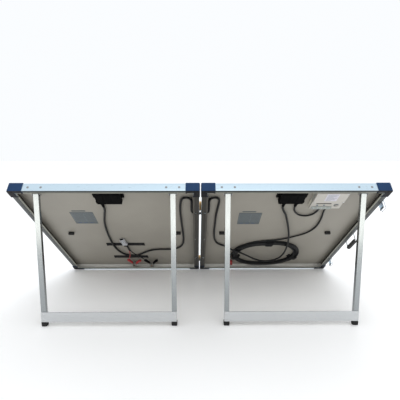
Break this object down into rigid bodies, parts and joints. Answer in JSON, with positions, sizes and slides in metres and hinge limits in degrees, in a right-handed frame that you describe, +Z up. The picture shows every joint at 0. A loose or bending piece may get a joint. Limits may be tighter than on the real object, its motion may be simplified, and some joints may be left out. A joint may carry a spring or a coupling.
{
  "type": "folding solar panel kit",
  "caption": "Suitcase-style folding solar charging kit: hinged framed panels standing on fold-out legs, with charge controller, cables, clips, latches and a handle.",
  "frame": {"origin": "the middle of the floor area that the standing kit covers, on the ground", "axes": "+Z up, +X along the hinged width of both panels, +Y from the legs towards the sun side; the cells face +Y and up"},
  "size_m": [1.3486, 0.6027, 0.5302],
  "materials": {
    "frame_aluminium": "clear anodised, satin, fine draw lines",
    "glass": "tempered low-iron glass, lightly textured, glossy",
    "cell": "dark blue cell with fine silver fingers and busbars",
    "backsheet": "white laminated backsheet, matte",
    "corner_cap": "moulded plastic, fine grain",
    "black_plastic": "moulded plastic, fine grain",
    "rating_plate": "printed film plate, satin",
    "bracket": "black powder coat",
    "pivot_bolt": "dark zinc",
    "pad": "foam rubber",
    "hinge": "yellow zinc plate",
    "leg_aluminium": "satin anodised tube",
    "crossbar": "brushed strip",
    "foot": "moulded rubber",
    "controller_case": "moulded plastic, light grain",
    "controller_face": "moulded plastic, satin",
    "terminal": "moulded terminal block",
    "button": "rubbery button",
    "cable": "rubber-jacketed cable, satin",
    "red_plastic": "moulded plastic, satin",
    "strap": "woven hook-and-loop strap",
    "connector_shell": "satin metal and grey plastic",
    "handle_wire": "bright zinc",
    "grip": "moulded rubber, ribbed",
    "latch_steel": "nickel plate"
  },
  "bodies": {
    "left_panel": {"left_side_rails": "frame_aluminium", "left_end_rails": "frame_aluminium", "left_glass": "glass", "left_cells": "cell", "left_backsheet": "backsheet", "left_corner_caps": "corner_cap", "left_junction_box": "black_plastic", "left_junction_lid": "black_plastic", "left_rating_plate": "rating_plate", "left_leg_brackets": "bracket", "left_leg_pivots": "pivot_bolt", "left_leg_pads": "pad", "left_hinge_leaves": "hinge", "hinge_pins": "hinge", "panel_cable_left": "cable", "cable_straps": "strap", "clip_connector": "connector_shell", "red_clip_lead": "red_plastic", "black_clip_lead": "cable", "red_clip_fixed_jaw": "red_plastic", "black_clip_fixed_jaw": "black_plastic", "latch_catches": "latch_steel"},
    "right_panel": {"right_side_rails": "frame_aluminium", "right_end_rails": "frame_aluminium", "right_glass": "glass", "right_cells": "cell", "right_backsheet": "backsheet", "right_corner_caps": "corner_cap", "right_junction_box": "black_plastic", "right_junction_lid": "black_plastic", "right_rating_plate": "rating_plate", "right_leg_brackets": "bracket", "right_leg_pivots": "pivot_bolt", "right_leg_pads": "pad", "right_hinge_leaves": "hinge", "controller_body": "controller_case", "controller_cover": "controller_face", "controller_terminals": "terminal", "panel_cable_right": "cable", "controller_jumper": "cable", "output_lead": "cable", "output_coil": "cable", "output_tail": "cable", "output_connector": "red_plastic", "coil_straps": "strap", "handle_brackets": "handle_wire", "latch_bases": "latch_steel"},
    "left_legs": {"left_leg_tubes": "leg_aluminium", "left_leg_crossbar": "crossbar", "left_leg_feet": "foot"},
    "right_legs": {"right_leg_tubes": "leg_aluminium", "right_leg_crossbar": "crossbar", "right_leg_feet": "foot"},
    "handle": {"handle_bail": "handle_wire", "handle_grip": "grip"},
    "upper_latch": {"upper_latch_lever": "latch_steel"},
    "lower_latch": {"lower_latch_lever": "latch_steel"},
    "red_jaw": {"red_clip_moving_jaw": "red_plastic"},
    "black_jaw": {"black_clip_moving_jaw": "black_plastic"},
    "button": {"controller_button": "button"}
  },
  "joints": [
    {"name": "panel_fold", "type": "hinge", "parent": "left_panel", "child": "right_panel", "pos_m": [-0.00665, 0.01065, 0.27867], "axis": [0, -0.7547, 0.6561], "range_deg": [0, 180]},
    {"name": "left_leg_fold", "type": "hinge", "parent": "left_panel", "child": "left_legs", "pos_m": [-0.34065, -0.27667, 0.49001], "axis": [1, 0, 0], "range_deg": [0, 50.5]},
    {"name": "right_leg_fold", "type": "hinge", "parent": "right_panel", "child": "right_legs", "pos_m": [0.32735, -0.27667, 0.49001], "axis": [1, 0, 0], "range_deg": [0, 50.5]},
    {"name": "handle_swing", "type": "hinge", "parent": "right_panel", "child": "handle", "pos_m": [0.66335, 0.00566, 0.25387], "axis": [0, -0.7547, 0.6561], "range_deg": [0, 150]},
    {"name": "upper_latch_swing", "type": "hinge", "parent": "right_panel", "child": "upper_latch", "pos_m": [0.66435, -0.20806, 0.45157], "axis": [0, -0.7547, 0.6561], "range_deg": [0, 120]},
    {"name": "lower_latch_swing", "type": "hinge", "parent": "right_panel", "child": "lower_latch", "pos_m": [0.66435, 0.22363, 0.0763], "axis": [0, -0.7547, 0.6561], "range_deg": [0, 120]},
    {"name": "red_clip_open", "type": "hinge", "parent": "left_panel", "child": "red_jaw", "pos_m": [-0.34765, 0.24382, 0.04465], "axis": [0, -0.6561, -0.7547], "range_deg": [0, 30], "stiffness_Nm_per_rad": 0.35, "springref_deg": -20.05},
    {"name": "black_clip_open", "type": "hinge", "parent": "left_panel", "child": "black_jaw", "pos_m": [-0.25665, 0.24457, 0.04399], "axis": [0, -0.6561, -0.7547], "range_deg": [0, 30], "stiffness_Nm_per_rad": 0.35, "springref_deg": -20.05},
    {"name": "button_press", "type": "slide", "parent": "right_panel", "child": "button", "axis": [0, 0.6561, 0.7547], "range_m": [0, 0.002], "stiffness_N_per_m": 400, "springref_m": -0.002}
  ]
}
